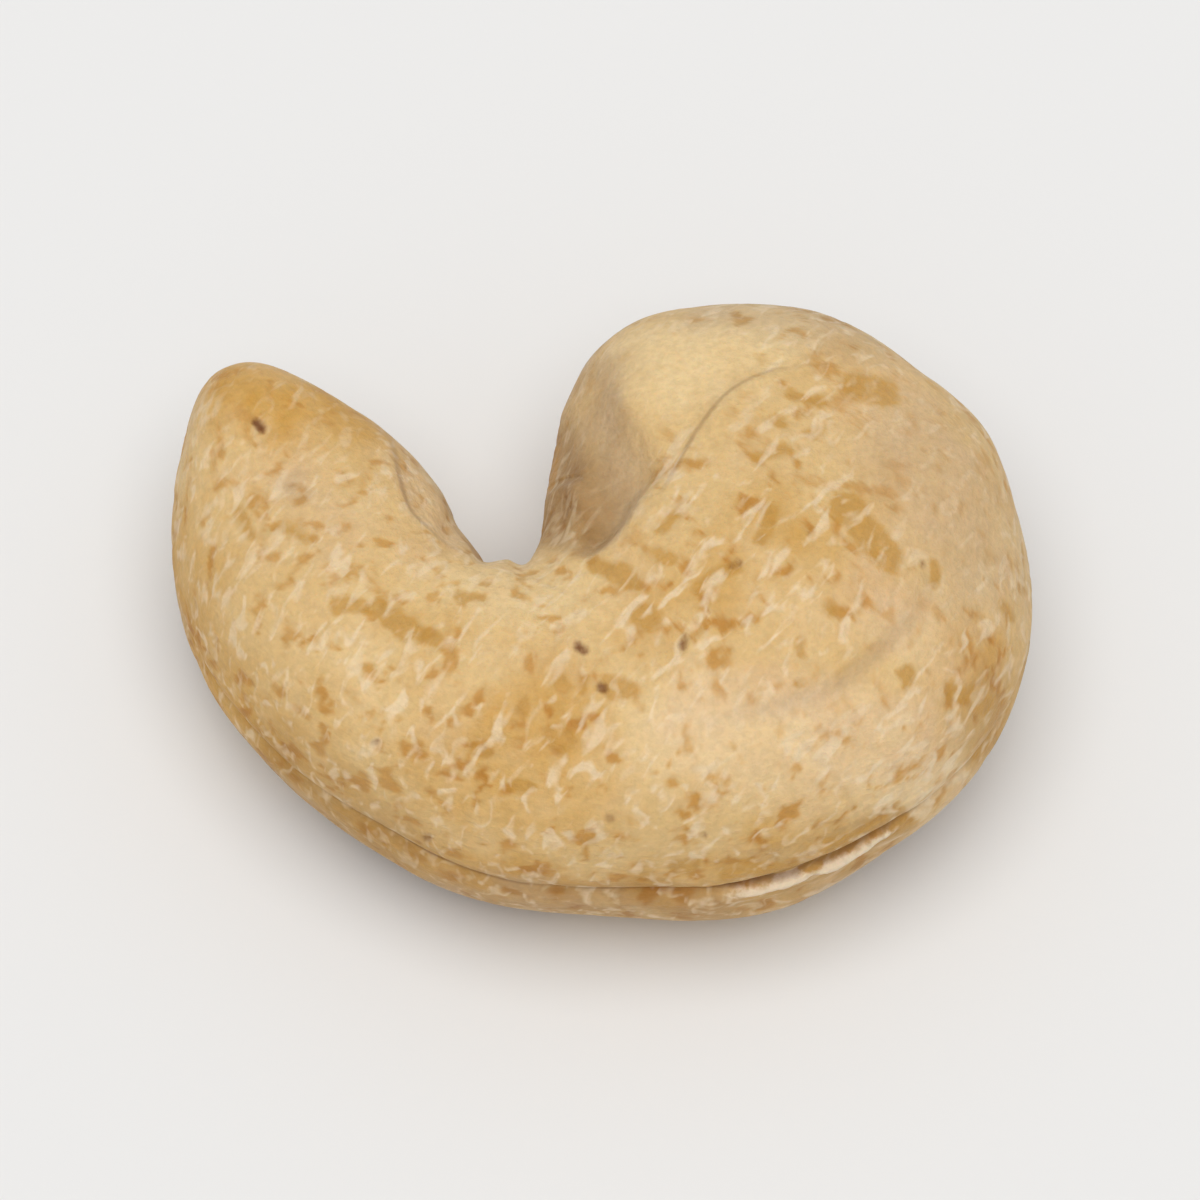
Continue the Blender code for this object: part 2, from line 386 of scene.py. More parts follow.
@dataclass(frozen=True)
class Seam:
    """The line round the edge where the two seed halves meet, with a ragged pale lip at the lower right."""

    depth: float = 0.16
    half_width: float = 0.36
    lip: float = 0.04
    lip_distance: float = 0.85
    slit_depth: float = 0.05
    slit_half_width: float = 0.09
    wander: float = 0.06  # how far the slit strays from the median plane
    wander_wave: float = 1.9
    wander_stretch: Triple = (1.0, 1.0, 0.15)  # of the waves' places, which keeps them along the edge
    outer_edge: Pair = (0.5, 0.75)  # shares across a section between which the outer edge begins
    gaping: Four = (6.35, 6.8, 7.15, 7.5)  # sections: starts, whole, wanes, ends
    lipped: Four = (7.0, 7.3, 7.95, 8.35)
    gape_depth: float = 0.16
    # how dark the slit is painted, as shade in the gap between the halves
    closed_darkness: float = 0.12
    wave_darkness: float = 0.4
    darkness_wave: float = 3.1
    gape_darkness: float = 0.5
    rolled_edge: float = 0.17  # how far the upper half rolls in above the lip
    roll: Four = (-0.1, 0.02, 0.02, 0.8)  # heights over the slit: starts, whole, wanes, ends
    lip_height: float = 0.22
    lip_thickness: float = 0.15
    lip_drop: float = 0.06  # from the slit to the lip's upper edge
    lip_rag: float = 0.2  # how far the lip's edges stray
    rag_wave: float = 1.1
    rag_limits: Pair = (-0.08, 0.2)
    tuck: float = 0.25  # how far the lower half falls back under the lip
    tuck_distance: float = 1.3
    tuck_width: float = 0.7
    noise: GradientNoise = field(default_factory=lambda: GradientNoise(11))

    def broad(self, skin: Skin) -> np.ndarray:
        """Height of the groove's broad form: a bell-shaped dip between two low bell-shaped lips."""
        groove = -self.depth * bell(skin.above, self.half_width)
        return groove + self.lip * bell(np.abs(skin.above) - self.lip_distance, self.half_width)

    def distance(self, skin: Skin) -> np.ndarray:
        """Height above the slit, which strays from the median plane by a field of waves along the edge."""
        level = skin.points * np.array(self.wander_stretch)
        return skin.above - self.wander * self.noise.fractal(level, self.wander_wave, 3)

    def stretch(self, skin: Skin, ends: Four) -> np.ndarray:
        """1 along a stretch of the outer edge, falling to 0 at its ends and away from the edge."""
        return plateau(skin.along, *ends) * smooth_step(skin.across, *self.outer_edge)

    def pale_lip(self, skin: Skin) -> np.ndarray:
        """How fully the lower half's ragged lip covers each place: a ridge just below the slit."""
        rag = self.lip_rag * self.noise.fractal(skin.points, self.rag_wave, 3, 0.6)
        thickness = self.lip_thickness + rag.clip(*self.rag_limits)
        ridge = bell(self.distance(skin) + self.lip_thickness + self.lip_drop, thickness)
        return self.stretch(skin, self.lipped) * ridge

    def darkness(self, skin: Skin) -> np.ndarray:
        """How dark the slit's painted shade is: faint where it is closed, in waves, and deep where it gapes.
        """
        waves = 0.5 + 0.9 * self.noise.fractal(skin.points + 60, self.darkness_wave, 3)
        gape = self.gape_darkness * self.stretch(skin, self.gaping)
        return np.clip(self.closed_darkness + self.wave_darkness * waves + gape, 0, 1)

    def fine(self, skin: Skin) -> np.ndarray:
        """Height of the slit, and of the rolled upper edge and the lip below it where the halves part."""
        distance = self.distance(skin)
        slit = self.slit_depth + self.gape_depth * self.stretch(skin, self.gaping)
        tucked = self.tuck * bell(distance + self.tuck_distance, self.tuck_width)
        rolled = self.rolled_edge * plateau(distance, *self.roll) + tucked
        parted = self.lip_height * self.pale_lip(skin) - rolled * self.stretch(skin, self.lipped)
        return parted - slit * bell(distance, self.slit_half_width)


@dataclass(frozen=True)
class Fold:
    """A line across the upper flank, with the skin stepping down on the left of its path."""

    path: tuple[Triple, ...]  # X, Y and strength of each point
    step_depth: float
    step: Pair  # distances past the line between which the skin goes down
    back: Pair  # distances between which it comes back up
    line_depth: float = 0.0  # of the crease along the path
    line_width: float = 0.13  # half width of the crease
    ridge_height: float = 0.5  # of the ridge beside the crease, over the crease's depth
    ridge_distance: float = 2.2  # from the crease, over its half width
    ridge_width: float = 1.5  # half width, over the crease's
    tone: float = 0.0  # how much painted shade greys the crease and painted light pales the ridge beside it
    heights: Pair = (0.3, 2.2)  # over the median plane, between which the fold comes in
    blend: float = 0.4  # how widely the path's strength is averaged
    measured_points: int = 80  # of the path, from which distances are measured

    def nearest(self, skin: Skin) -> tuple[np.ndarray, np.ndarray]:
        """Measure how far past the path each place is.

        The path is drawn finely. The way from its nearest point to the place is crossed with the path's
        direction there, which gives the distance to the path's left. The strength is the mean of the path's,
        with each point weighed by e to the minus square of how much farther off it is than the nearest.

        Args:
            skin: The kernel's surface.

        Returns:
            The distance past the path, and the path's strength near the place, faded out down the flank.
        """
        path = smooth_path(self.path, self.measured_points)
        heading = unit(np.gradient(path[:, :2], axis=0))
        plan = skin.points[..., :2].reshape(-1, 1, 2)
        apart = np.sqrt(((plan - path[None, :, :2]) ** 2).sum(axis=-1))
        near = np.argmin(apart, axis=1)
        way = plan[:, 0] - path[near, :2]
        past = heading[near, 0] * way[:, 1] - heading[near, 1] * way[:, 0]
        weight = bell(apart - apart.min(axis=1, keepdims=True), self.blend)
        strength = (weight * path[:, 2]).sum(axis=1) / weight.sum(axis=1)
        shown = strength.reshape(skin.above.shape) * smooth_step(skin.above, *self.heights)
        return past.reshape(skin.above.shape), shown

    def height(self, skin: Skin) -> np.ndarray:
        """Height of the step, an S-shaped drop and return, and of the crease, a groove with a low ridge."""
        past, shown = self.nearest(skin)
        drop = plateau(past, *self.step, *self.back)
        crease = self.ridge_height * self.ridge(past) - bell(past, self.line_width)
        return shown * (self.line_depth * crease - self.step_depth * drop)

    def ridge(self, past: np.ndarray) -> np.ndarray:
        """1 along the low ridge on the near side of the crease, falling to 0 beside it."""
        return bell(past + self.ridge_distance * self.line_width, self.ridge_width * self.line_width)


@dataclass(frozen=True)
class Puckers:
    """Wrinkles across the bottom of the hollow, where the limb bends tightest."""

    depth: float = 0.1
    spacing: float = 1.05
    slant: float = 0.12  # how far they shift along X for each millimetre up
    reach: float = 1.6
    middle: Pair = (-2.9, 0.8)
    spread: float = 2.6

    def broad(self, skin: Skin) -> np.ndarray:
        """Height of a wave along X that fades away from the inner edge and from the hollow's middle."""
        east = skin.points[..., 0] - self.middle[0]
        distance = np.hypot(east, skin.points[..., 1] - self.middle[1])
        wave = np.cos(2 * np.pi * (east + self.slant * skin.points[..., 2]) / self.spacing)
        return self.depth * wave * bell(distance, self.spread) * bell(skin.from_inner_edge, self.reach)


@dataclass(frozen=True)
class Swells:
    """Broad dents and swells, as a sum of slow plane waves."""

    waves: tuple[tuple[Triple, float, float], ...] = (
        ((9.5, 12.0, 30.0), 0.08, 0.6),
        ((-8.5, 9.0, 14.0), 0.06, 2.1),
        ((15.0, -7.0, -10.0), 0.05, 4.0),
    )  # wavelengths along X, Y and Z, height, and phase in radians

    def broad(self, skin: Skin) -> np.ndarray:
        """Height of the sum of the waves, each a cosine."""
        total = np.zeros(skin.above.shape)
        for wavelengths, height, phase in self.waves:
            turns = (skin.points / np.array(wavelengths)).sum(axis=-1)
            total += height * np.cos(2 * np.pi * turns + phase)
        return total


@dataclass(frozen=True)
class Weathering:
    """Dents and pits all over the skin."""

    dent_height: float = 0.05
    dent_size: float = 3.4
    pit_size: float = 0.75
    pit_warp: float = 0.35  # how far their outlines stray
    warp_wave: float = 1.8
    pit_rise: Pair = (0.0, 0.9)
    pit_depth: float = 0.04
    noise: GradientNoise = field(default_factory=lambda: GradientNoise(5))

    def pits(self, skin: Skin) -> np.ndarray:
        """How deep each place lies in a pit: where a field read at warped places is low."""
        warps = [self.noise.fractal(skin.points + shift, self.warp_wave, 2) for shift in (110, 120, 130)]
        places = skin.points + self.pit_warp * np.stack(warps, axis=-1)
        return smooth_step(-self.noise.fractal(places + 30, self.pit_size, 3, 0.6), *self.pit_rise)

    def dents(self, skin: Skin) -> np.ndarray:
        """Height of the dents, as a random field."""
        return self.dent_height * self.noise.fractal(skin.points + 40, self.dent_size, 3, 0.45)


@dataclass(frozen=True)
class MarkingSheet:
    """A flat sheet over the kernel's upper front, on which the listed marks are set out.

    It goes through the kernel's heart and leans forward from level. A mark is carried to the skin straight
    along the sheet's normal.
    """

    lean: float = math.radians(28.0)
    heart_height: float = 5.1

    def places(self, skin: Skin) -> tuple[np.ndarray, np.ndarray]:
        """Carry the skin to the sheet: X, and Y cos(lean) + (Z - heart height) sin(lean)."""
        rise = skin.points[..., 2] - self.heart_height
        return skin.points[..., 0], skin.points[..., 1] * math.cos(self.lean) + rise * math.sin(self.lean)

    def faces(self, skin: Skin, turned_off: float, full: float) -> np.ndarray:
        """Rise from 0 to 1 as the cosine between the two normals goes from one value to another."""
        cosine = skin.normals[..., 2] * math.cos(self.lean) - skin.normals[..., 1] * math.sin(self.lean)
        return smooth_step(cosine, turned_off, full)


@dataclass(frozen=True)
class Stroke:
    """A round-ended stroke on the marking sheet."""

    start: Pair
    end: Pair
    radius: float
    strength: float = 1.0

    def cover(self, right: np.ndarray, up: np.ndarray, edge: float) -> np.ndarray:
        """How far inside the stroke each place is.

        Args:
            right: The places' first coordinate on the sheet.
            up: Their second one.
            edge: Distance over which the result changes, but not more than 1.5 times the stroke's radius.

        Returns:
            0.5 on the stroke's outline, rising to 1 that distance inside and falling to 0 that distance
            outside, times its strength.
        """
        run = (self.end[0] - self.start[0], self.end[1] - self.start[1])
        square = max(run[0] ** 2 + run[1] ** 2, 1e-9)
        share = np.clip(((right - self.start[0]) * run[0] + (up - self.start[1]) * run[1]) / square, 0, 1)
        distance = np.hypot(right - self.start[0] - share * run[0], up - self.start[1] - share * run[1])
        edge = min(edge, 1.5 * self.radius)
        return self.strength * np.clip(0.5 + (self.radius - distance) / (2 * edge), 0, 1)


def strokes(*rows: tuple[float, ...]) -> tuple[Stroke, ...]:
    """Make strokes of rows that hold start, end, radius and, where it isn't 1, strength."""
    return tuple(Stroke(row[:2], row[2:4], *row[4:]) for row in rows)


@dataclass(frozen=True)
class Outline:
    """How a stroke's outline strays and fades."""

    stray: float  # how far it strays
    wave: float  # length of the waves in which it strays
    edge: float  # distance over which it fades
    turned: Pair  # cosines to the sheet's normal between which the stroke comes in


PATCH = Outline(stray=0.16, wave=0.9, edge=0.25, turned=(0.0, 0.25))
PINHOLE = Outline(stray=0.06, wave=0.4, edge=0.13, turned=(0.0, 0.25))
CLOUD = Outline(stray=0.5, wave=2.4, edge=0.8, turned=(-0.6, 0.1))


class Mark(Enum):
    """What a mark does to the skin."""

    AMBER = "amber"  # worn through to the oily flesh
    SPECK = "speck"  # a dark pinhole
    WARM = "warm"  # broadly more golden
    PALE = "pale"  # broadly paler and powdery; along the fat lobe's top edge it is painted sheen
    PINK = "pink"  # broadly pinker
    GREY = "grey"  # broadly greyer; on the hollow's wall it is painted shade
    SHADE = "shade"  # painted shade, partly brown stain: browner in the hollow, along the lower rim and by the seam
    ROUGH = "rough"  # more pits and wisps
    SMOOTH = "smooth"  # fewer pits and wisps

    @property
    def outline(self) -> Outline:
        """How its strokes end: crisply for patches and pinholes, softly for changes of tone."""
        return {Mark.AMBER: PATCH, Mark.SPECK: PINHOLE}.get(self, CLOUD)

    @property
    def is_blotchy(self) -> bool:
        """Whether it also varies at random from place to place."""
        return self in (Mark.WARM, Mark.PALE, Mark.PINK)


STROKES: dict[Mark, tuple[Stroke, ...]] = {
    Mark.AMBER: strokes(
        (-7.6, 0.18, -6.11, 0.18, 0.21), (-6.2, 0.21, -5.49, -0.59, 0.34),
        (-5.49, -0.59, -4.68, -0.86, 0.26), (-4.06, 0.36, -3.34, 0.32, 0.17),
        (-0.13, 1.25, 0.86, 0.84, 0.26), (1.1, -0.05, 1.3, -0.23, 0.38), (1.7, 1.55, 1.88, 1.45, 0.22),
        (2.48, 2.98, 1.59, 2.29, 0.17), (2.79, 0.59, 3.68, 1.2, 0.18), (4.38, 4.29, 5.29, 4.59, 0.17),
        (5.05, 5.34, 5.2, 5.34, 0.19), (6.0, 5.09, 6.4, 5.19, 0.24, 0.8), (5.38, 6.2, 6.29, 6.09, 0.16),
        (4.88, 2.7, 4.59, 1.98, 0.24), (6.9, 2.98, 8.09, 1.48, 0.52, 0.85), (6.49, 0.1, 6.49, -0.1, 0.17),
        (5.65, -1.0, 5.72, -1.3, 0.19), (9.6, 1.2, 9.6, 0.78, 0.2), (11.6, 0.1, 11.8, -0.2, 0.18),
        (8.59, -1.78, 8.7, -2.02, 0.22), (5.59, -2.11, 5.7, -2.11, 0.14),
        (9.99, -2.32, 11.8, -3.02, 0.4, 0.75), (11.6, -3.1, 11.0, -4.02, 0.5, 0.75),
        (3.98, 1.29, 3.48, 0.98, 0.14), (0.22, -2.18, 0.6, -2.22, 0.3), (-1.18, -1.9, -1.1, -2.1, 0.28),
        (-0.5, -2.0, -0.5, -2.3, 0.15), (-2.18, -2.66, -2.3, -2.8, 0.25),
        (-1.38, -3.59, -1.0, -3.7, 0.32), (-2.45, -5.06, -2.1, -5.1, 0.26),
        (-3.5, -3.99, -3.2, -4.1, 0.2), (2.0, -7.38, 2.6, -7.38, 0.24),
        # the two strokes on the next line, where the upper half rolls under above the seam's lip, are partly
        # painted shade
        (3.6, -7.55, 5.8, -7.35, 0.3, 0.95), (5.8, -7.3, 8.6, -6.2, 0.45),
        (7.4, 6.55, 8.3, 6.3, 0.5, 0.75), (-10.5, 2.9, -10.05, 2.15, 0.28, 0.7),
        (-9.4, 2.34, -8.4, 2.0, 0.24, 0.7),
    ),
    Mark.WARM: strokes(
        (-10.9, 6.1, -6.9, 5.8, 0.9, 0.9), (-12.1, 2.5, -11.7, -0.5, 0.8),
        (-11.7, -0.5, -10.5, -3.4, 0.9), (-10.5, -3.4, -6.2, -6.8, 0.8, 0.9),
        (-6.2, -6.9, 1.5, -8.4, 0.6, 0.9), (1.5, -8.4, 8.0, -7.3, 0.6, 0.8),
        (-2.4, -3.2, -1.0, -3.3, 1.3, 0.7), (0.6, 0.6, 3.1, 0.9, 1.1, 0.6),
        (4.8, 2.2, 7.4, 2.7, 0.9, 0.6), (10.8, -1.4, 10.9, -3.2, 1.0, 0.7),
        (-5.8, -0.2, -5.0, -0.8, 0.6, 0.4), (-4.6, -4.9, -1.0, -5.6, 1.3, 0.5),
        (-9.6, 6.7, -6.6, 5.2, 0.5, 0.6), (4.6, -6.6, 8.4, -6.0, 0.4, 0.6),
    ),
    Mark.PALE: strokes(
        # the first stroke below, along the fat lobe's top edge, is painted sheen where light grazes it
        (1.7, 7.0, 4.9, 8.0, 1.3), (2.6, 4.7, 2.9, 5.6, 0.7, 0.5), (-4.6, 0.7, -0.4, 0.3, 0.8, 0.7),
        (-11.6, 3.2, -11.4, 2.4, 0.5, 0.6), (-7.4, -1.6, -6.6, -2.6, 0.9, 0.4),
        (-5.8, 5.2, -4.8, 3.7, 0.18, 0.8), (-4.8, 3.7, -4.0, 2.4, 0.18, 0.8),
        (2.0, -3.2, 5.0, -4.2, 1.5, 0.7), (5.8, -4.4, 8.6, -5.0, 1.3, 0.6),
        (11.0, 0.2, 11.1, -0.4, 0.5, 0.5),
    ),
    Mark.PINK: strokes(
        (8.6, 5.2, 11.0, 1.0, 1.7, 0.4), (3.0, -3.2, 8.6, -4.2, 1.7, 0.9),
        (7.4, 0.6, 10.0, -1.2, 1.2, 0.6), (-4.8, 3.2, -4.6, 2.4, 0.9, 0.5),
        (-9.4, 3.9, -7.6, 2.6, 0.8, 0.4), (-4.0, -8.2, 4.4, -8.8, 0.5, 0.9),
        (4.4, -8.8, 8.4, -7.5, 0.4, 0.9),
    ),
    Mark.GREY: strokes(
        # the first two strokes, on the hollow's wall, are painted shade
        (0.1, 6.2, 0.2, 4.4, 0.7, 0.8), (0.2, 4.4, 0.2, 2.6, 1.0, 0.75), (2.8, 8.9, 7.6, 8.0, 0.6, 0.6),
        (9.2, 4.6, 10.8, 1.2, 1.5, 0.35), (-8.8, 3.4, -8.8, 3.3, 0.3, 0.8),
    ),
    # painted shade, partly brown stain: on the hollow's wall, along the lower left rim, below the seam and
    # above its lip
    Mark.SHADE: strokes(
        (-1.3, 4.4, -0.9, 2.2, 0.8), (-0.9, 2.2, -0.2, 2.0, 0.45, 0.9),
        (-9.8, -4.4, -5.5, -7.1, 0.6, 0.5), (-5.5, -8.0, 4.4, -9.0, 0.4, 0.6),
        (5.2, -7.3, 8.4, -6.3, 0.4, 0.6), (10.6, -2.4, 11.0, -3.6, 0.7, 0.3),
    ),
    Mark.ROUGH: strokes(
        (1.5, 1.0, 5.5, -0.5, 2.2), (3.0, 4.0, 5.5, 3.0, 1.2, 0.8), (-3.0, -4.2, 4.0, -5.8, 1.6, 0.9),
        (-8.0, -1.0, -6.0, -3.0, 1.4, 0.7), (8.0, -4.6, 10.6, -1.2, 1.0, 0.7),
        (5.4, -4.9, 9.0, -4.4, 1.4),
    ),
    Mark.SMOOTH: strokes(
        (1.4, 6.8, 3.0, 6.6, 1.5), (0.0, 6.0, 0.2, 2.6, 1.2), (8.6, 5.4, 10.6, 2.0, 1.6, 0.6),
        (3.4, -3.4, 6.4, -2.9, 0.7, 0.7), (-10.8, 6.0, -7.4, 5.6, 0.9, 0.7),
        (-10.0, -5.0, -5.0, -7.6, 0.6, 0.7),
    ),
    Mark.SPECK: strokes(
        (-10.0, 5.46, -9.82, 5.3, 0.14), (-0.62, -1.1, -0.48, -1.18, 0.14),
        (2.36, -0.78, 2.24, -1.0, 0.12, 0.9), (0.0, -2.2, 0.06, -2.22, 0.13),
        (3.86, 1.34, 3.74, 1.24, 0.12, 0.85), (5.86, 2.09, 5.9, 2.09, 0.1, 0.8),
        (9.15, 1.29, 9.19, 1.28, 0.1, 0.8), (-6.39, -3.72, -6.35, -3.75, 0.09, 0.8),
        (-4.96, -6.49, -4.93, -6.49, 0.1, 0.85), (0.2, -5.84, 0.3, -5.88, 0.11, 0.75),
        (2.88, -6.37, 2.92, -6.37, 0.09, 0.8),
    ),
}


@dataclass(frozen=True)
class Scatter:
    """Spots scattered at random."""

    count: int
    radius: float  # the middling one
    spared: float  # share by which they are weaker where the strokes are
    strength: float = 1.0


@dataclass(frozen=True)
class Marking:
    """Spreads the marks over the skin, by the strokes on the upper front and at random elsewhere."""

    sheet: MarkingSheet = field(default_factory=MarkingSheet)
    blotch: float = 0.3  # how much the soft marks vary from place to place
    blotch_size: float = 1.9
    cloud_size: float = 5.5  # of the random changes of tone where there are no strokes
    cloud_rise: Pair = (0.0, 0.7)
    hidden: Pair = (0.3, -0.2)  # cosines to the sheet's normal between which those come in
    plain_roughness: float = 0.75
    rough_gain: float = 0.2
    smooth_loss: float = 0.6
    roughness_limits: Pair = (0.05, 1.0)
    amber: Scatter = Scatter(count=80, radius=0.3, spared=0.8)
    specks: Scatter = Scatter(count=16, radius=0.06, spared=1.0, strength=0.8)
    spot_sizes: Pair = (0.5, 1.7)  # the smallest and largest spot's radius over the middling one
    spot_stretch: float = 0.5  # how much a way along the limb counts
    seed: int = 23
    noise: GradientNoise = field(default_factory=lambda: GradientNoise(31))

    def by_strokes(self, skin: Skin, mark: Mark) -> np.ndarray:
        """The strongest cover that a mark's strokes give, read at places that stray by a random field."""
        outline = mark.outline
        right, up = self.sheet.places(skin)
        right = right + self.stray(skin, outline, 0)
        up = up + self.stray(skin, outline, 50)
        covers = [stroke.cover(right, up, outline.edge) for stroke in STROKES[mark]]
        return np.max(covers, axis=0) * self.sheet.faces(skin, *outline.turned)

    def stray(self, skin: Skin, outline: Outline, shift: float) -> np.ndarray:
        """How far an outline strays at each place, as a random field read at shifted places."""
        return outline.stray * self.noise.fractal(skin.points + shift, outline.wave, 3, 0.6)

    def at_random(self, skin: Skin, scatter: Scatter) -> np.ndarray:
        """Scatter spots that are stretched along the limb.

        A place's distance from a spot is the straight one, with the part along the limb counted less.

        Args:
            skin: The kernel's surface.
            scatter: The spots' number, size and strength.

        Returns:
            The strongest cover at each place, half the spots' strength on an outline.
        """
        draw = np.random.default_rng(self.seed + scatter.count)
        flat = skin.points.reshape(-1, 3)
        picks = draw.integers(0, len(flat), scatter.count)
        radii = scatter.radius * draw.uniform(*self.spot_sizes, scatter.count)
        grain = skin.grain.reshape(-1, 3)[picks]
        stray = self.stray(skin, PATCH, 80)
        total = np.zeros(skin.above.shape)
        for pick, size, direction in zip(picks, radii, grain):
            way = skin.points - flat[pick]
            run = (way * direction).sum(axis=-1)
            squares = (way**2).sum(axis=-1) - (1 - self.spot_stretch**2) * run**2
            distance = np.sqrt(np.maximum(squares, 0)) + stray
            total = np.maximum(total, np.clip(0.5 + (size - distance) / (2 * PATCH.edge), 0, 1))
        return scatter.strength * total * (1 - scatter.spared * self.sheet.faces(skin, *PATCH.turned))

    def cover(self, skin: Skin, mark: Mark) -> np.ndarray:
        """How strongly one kind of mark covers each place, from 0 to 1."""
        drawn = self.by_strokes(skin, mark)
        scatter = {Mark.AMBER: self.amber, Mark.SPECK: self.specks}.get(mark)
        if scatter:
            return np.maximum(drawn, self.at_random(skin, scatter))
        places = skin.points + 100 * (1 + list(Mark).index(mark))
        clouds = smooth_step(self.noise.fractal(places, self.cloud_size, 3), *self.cloud_rise)
        covers = np.maximum(drawn, clouds * self.sheet.faces(skin, *self.hidden))
        if mark.is_blotchy:
            covers = covers + self.blotch * self.noise.fractal(places + 50, self.blotch_size, 3, 0.6)
        return np.clip(covers, 0, 1)

    def roughness(self, skin: Skin) -> np.ndarray:
        """How strongly pits and wisps show: more on rough and less on smooth marks."""
        gained = self.plain_roughness + self.rough_gain * self.cover(skin, Mark.ROUGH)
        return np.clip(gained - self.smooth_loss * self.cover(skin, Mark.SMOOTH), *self.roughness_limits)


@dataclass(frozen=True)
class Grain:
    """The measures of a fractal pattern."""

    scale: float
    detail: float
    roughness: float
    distortion: float = 0.0


class MaterialTree:
    """A material's nodes, with short calls that add one and link what it reads."""

    def __init__(self, name: str) -> None:
        """Start a material that holds only its shader and output."""
        self.material = bpy.data.materials.new(name)
        self.material.use_nodes = True
        self.tree = self.material.node_tree
        self.shader = self.tree.nodes["Principled BSDF"]

    def feed(self, node: bpy.types.Node, inputs: dict) -> None:
        """Give a node's sockets what they read: another node's output, or a plain value, which is set."""
        for name, value in inputs.items():
            if isinstance(value, Socket):
                self.tree.links.new(value, node.inputs[name])
            else:
                node.inputs[name].default_value = value

    def add(self, kind: str, inputs: dict, **settings: object) -> bpy.types.Node:
        """Add a node.

        Args:
            kind: The node's type, without ShaderNode before it.
            inputs: What each socket reads, by its name or number.
            **settings: The node's own properties.

        Returns:
            The node.
        """
        node = self.tree.nodes.new("ShaderNode" + kind)
        for name, value in settings.items():
            setattr(node, name, value)
        self.feed(node, inputs)
        return node

    def attribute(self, name: str) -> Socket:
        """Read one of the mesh's own attributes."""
        return self.add("Attribute", {}, attribute_name=name).outputs["Fac"]

    def place(self) -> Socket:
        """Read the place on the object, in millimetres."""
        coordinates = self.add("TexCoord", {}).outputs["Object"]
        return self.add("VectorMath", {0: coordinates, "Scale": 1 / MM}, operation="SCALE").outputs[0]

    def laid_out(self, stretch: Triple) -> Socket:
        """Read the place on the UV map, along the limb and round it, with each axis scaled."""
        flat = self.add("UVMap", {}, uv_map=UV_MAP).outputs[0]
        return self.add("VectorMath", {0: flat, 1: stretch}, operation="MULTIPLY").outputs[0]

    def noise(self, at: Socket, grain: Grain) -> Socket:
        """Read a fractal field of about 0 to 1."""
        inputs = {"Vector": at, **{name.capitalize(): value for name, value in vars(grain).items()}}
        return self.add("TexNoise", inputs).outputs["Fac"]

    def math(self, operation: str, *values: Socket | float) -> Socket:
        """Work out a sum, difference, product or the like of values."""
        return self.add("Math", dict(enumerate(values)), operation=operation).outputs[0]

    def rise(self, value: Socket, start: float, end: float, low: float = 0.0, high: float = 1.0) -> Socket:
        """Go from low to high in an S shape as a value goes from start to end."""
        inputs = {"Value": value, "From Min": start, "From Max": end, "To Min": low, "To Max": high}
        return self.add("MapRange", inputs, interpolation_type="SMOOTHSTEP").outputs["Result"]

    def mix(
        self, share: Socket | float, first: Socket | Four, second: Socket | Four, blend: str = "MIX"
    ) -> Socket:
        """Go from the first colour to the second, or to the product of the two, as a share goes to 1."""
        inputs = {0: share, 6: first, 7: second}
        return self.add("Mix", inputs, data_type="RGBA", blend_type=blend).outputs[2]


@dataclass(frozen=True)
class Layer:
    """One of the layers of colour that are stored with the mesh."""

    name: str
    colour: str
    share: float  # of its colour where it shows fully
    fray: float = 0.0  # share of the fine pattern that is added to it, which frays its outlines
    rise: Pair = (0.0, 1.0)  # values between which it comes to show


@dataclass(frozen=True)
class DarkLine:
    """A thin brown line of painted shade along a groove, given by a stored distance from it."""

    distance: str
    shown: str  # stored share of it that shows
    reach: Pair  # distances between which it fades
    darkness: float


